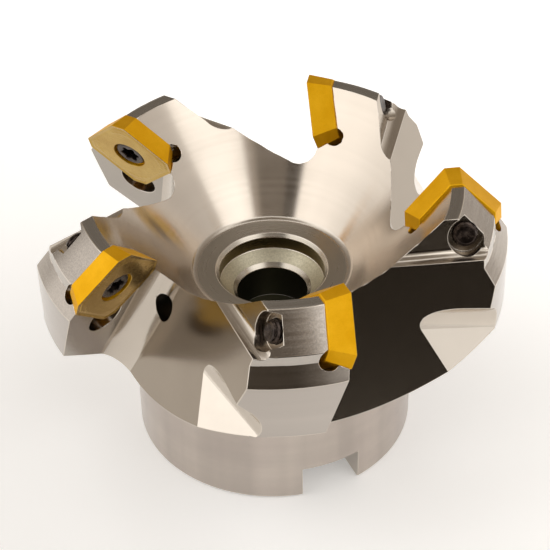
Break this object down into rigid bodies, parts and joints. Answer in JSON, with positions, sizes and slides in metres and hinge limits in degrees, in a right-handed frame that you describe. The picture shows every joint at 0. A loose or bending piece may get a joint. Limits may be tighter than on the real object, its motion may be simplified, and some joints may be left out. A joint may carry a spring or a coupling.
{
  "type": "indexable face mill",
  "caption": "Indexable face mill with a dished steel body, chip gullets and square gold inserts set at 45 degrees, each clamped by a countersunk screw.",
  "frame": {"origin": "centre of the arbor bore on the hub's back face", "axes": "+Z along the spindle axis towards the cutting face; the two drive slots lie along Y"},
  "size_m": [0.0761, 0.0787, 0.05],
  "materials": {
    "body_nickel": "satin nickel-plated steel, fine turning and milling marks",
    "insert_gold": "titanium nitride coated carbide, satin gold",
    "screw_black": "black oxide"
  },
  "bodies": {
    "cutter": {"cutter_body": "body_nickel"},
    "insert_1": {"insert_1": "insert_gold"},
    "insert_screw_1": {"insert_screw_1": "screw_black"},
    "insert_2": {"insert_2": "insert_gold"},
    "insert_screw_2": {"insert_screw_2": "screw_black"},
    "insert_3": {"insert_3": "insert_gold"},
    "insert_screw_3": {"insert_screw_3": "screw_black"},
    "insert_4": {"insert_4": "insert_gold"},
    "insert_screw_4": {"insert_screw_4": "screw_black"},
    "insert_5": {"insert_5": "insert_gold"},
    "insert_screw_5": {"insert_screw_5": "screw_black"}
  },
  "joints": [
    {"name": "insert_1_lift", "type": "slide", "parent": "cutter", "child": "insert_1", "axis": [-0.7665, 0.5447, -0.3404], "range_m": [0, 0.008]},
    {"name": "insert_screw_1_turn", "type": "hinge", "parent": "insert_1", "child": "insert_screw_1", "pos_m": [0.02035, 0.02259, 0.0423], "axis": [-0.7665, 0.5447, -0.3404], "range_deg": [0, 4114.3]},
    {"name": "insert_2_lift", "type": "slide", "parent": "cutter", "child": "insert_2", "axis": [-0.7549, -0.5606, -0.3404], "range_m": [0, 0.008]},
    {"name": "insert_screw_2_turn", "type": "hinge", "parent": "insert_2", "child": "insert_screw_2", "pos_m": [-0.01519, 0.02634, 0.0423], "axis": [-0.7549, -0.5606, -0.3404], "range_deg": [0, 4114.3]},
    {"name": "insert_3_lift", "type": "slide", "parent": "cutter", "child": "insert_3", "axis": [0.2999, -0.8912, -0.3404], "range_m": [0, 0.008]},
    {"name": "insert_screw_3_turn", "type": "hinge", "parent": "insert_3", "child": "insert_screw_3", "pos_m": [-0.02974, -0.00631, 0.0423], "axis": [0.2999, -0.8912, -0.3404], "range_deg": [0, 4114.3]},
    {"name": "insert_4_lift", "type": "slide", "parent": "cutter", "child": "insert_4", "axis": [0.9402, 0.0098, -0.3404], "range_m": [0, 0.008]},
    {"name": "insert_screw_4_turn", "type": "hinge", "parent": "insert_4", "child": "insert_screw_4", "pos_m": [-0.00319, -0.03023, 0.0423], "axis": [0.9402, 0.0098, -0.3404], "range_deg": [0, 4114.3]},
    {"name": "insert_5_lift", "type": "slide", "parent": "cutter", "child": "insert_5", "axis": [0.2812, 0.8973, -0.3404], "range_m": [0, 0.008]},
    {"name": "insert_screw_5_turn", "type": "hinge", "parent": "insert_5", "child": "insert_screw_5", "pos_m": [0.02777, -0.01238, 0.0423], "axis": [0.2812, 0.8973, -0.3404], "range_deg": [0, 4114.3]}
  ],
  "couplings": [
    {"joint": "insert_screw_1_turn", "follows": "insert_1_lift", "rad_per_m": 8976},
    {"joint": "insert_screw_2_turn", "follows": "insert_2_lift", "rad_per_m": 8976},
    {"joint": "insert_screw_3_turn", "follows": "insert_3_lift", "rad_per_m": 8976},
    {"joint": "insert_screw_4_turn", "follows": "insert_4_lift", "rad_per_m": 8976},
    {"joint": "insert_screw_5_turn", "follows": "insert_5_lift", "rad_per_m": 8976}
  ]
}
